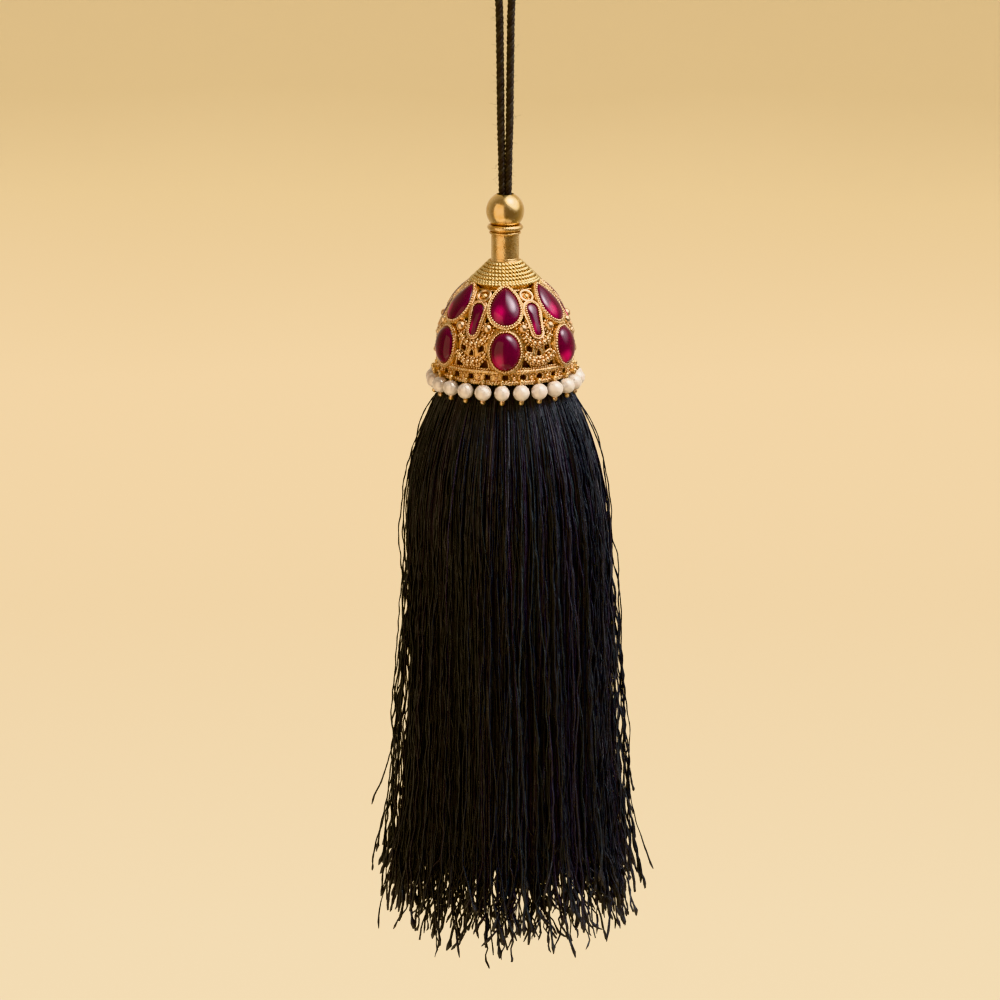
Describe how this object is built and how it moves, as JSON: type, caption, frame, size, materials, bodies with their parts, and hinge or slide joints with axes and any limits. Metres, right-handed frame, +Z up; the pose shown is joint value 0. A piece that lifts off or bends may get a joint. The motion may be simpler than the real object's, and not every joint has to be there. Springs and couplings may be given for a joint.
{
  "type": "hair tassel",
  "caption": "Hair tassel: a pierced gold dome set with red cabochons and edged with hanging pearls, over a long skirt of black threads, on a doubled black cord.",
  "frame": {"origin": "the underside of the cord loop's crown, where a hook, a hair pin or a braid's end carries the tassel", "axes": "+Z up along the tassel's own axis from the thread ends to the loop, -Y the front that the picture shows, +X to the right of that front"},
  "size_m": [0.0474, 0.0474, 0.1843],
  "materials": {
    "black_thread": "near-black silky thread with a fine sheen",
    "gold": "antique gold plating, bright on the raised wires and dark in the recesses",
    "polished_gold": "polished gold plating",
    "black_cord": "twisted black cotton cord, matt with fine loose fibres",
    "ruby": "polished deep red to magenta cabochon over a foiled back",
    "pearl": "creamy nacre with a soft pink lustre"
  },
  "bodies": {
    "root": {"thread_skirt": "black_thread", "cap": "gold", "ball_bead": "polished_gold", "cord": "black_cord", "oval_stone_1": "ruby", "oval_stone_2": "ruby", "oval_stone_3": "ruby", "oval_stone_4": "ruby", "oval_stone_5": "ruby", "oval_stone_6": "ruby", "drop_stone_1": "ruby", "drop_stone_2": "ruby", "drop_stone_3": "ruby", "drop_stone_4": "ruby", "drop_stone_5": "ruby", "drop_stone_6": "ruby", "narrow_stone_1": "ruby", "narrow_stone_2": "ruby", "narrow_stone_3": "ruby", "narrow_stone_4": "ruby", "narrow_stone_5": "ruby", "narrow_stone_6": "ruby", "pearl_01": "pearl", "pearl_02": "pearl", "pearl_03": "pearl", "pearl_04": "pearl", "pearl_05": "pearl", "pearl_06": "pearl", "pearl_07": "pearl", "pearl_08": "pearl", "pearl_09": "pearl", "pearl_10": "pearl", "pearl_11": "pearl", "pearl_12": "pearl", "pearl_13": "pearl", "pearl_14": "pearl", "pearl_15": "pearl", "pearl_16": "pearl", "pearl_17": "pearl", "pearl_18": "pearl", "pearl_19": "pearl", "pearl_20": "pearl", "pearl_21": "pearl", "pearl_22": "pearl", "pearl_23": "pearl", "pearl_24": "pearl"}
  },
  "joints": []
}
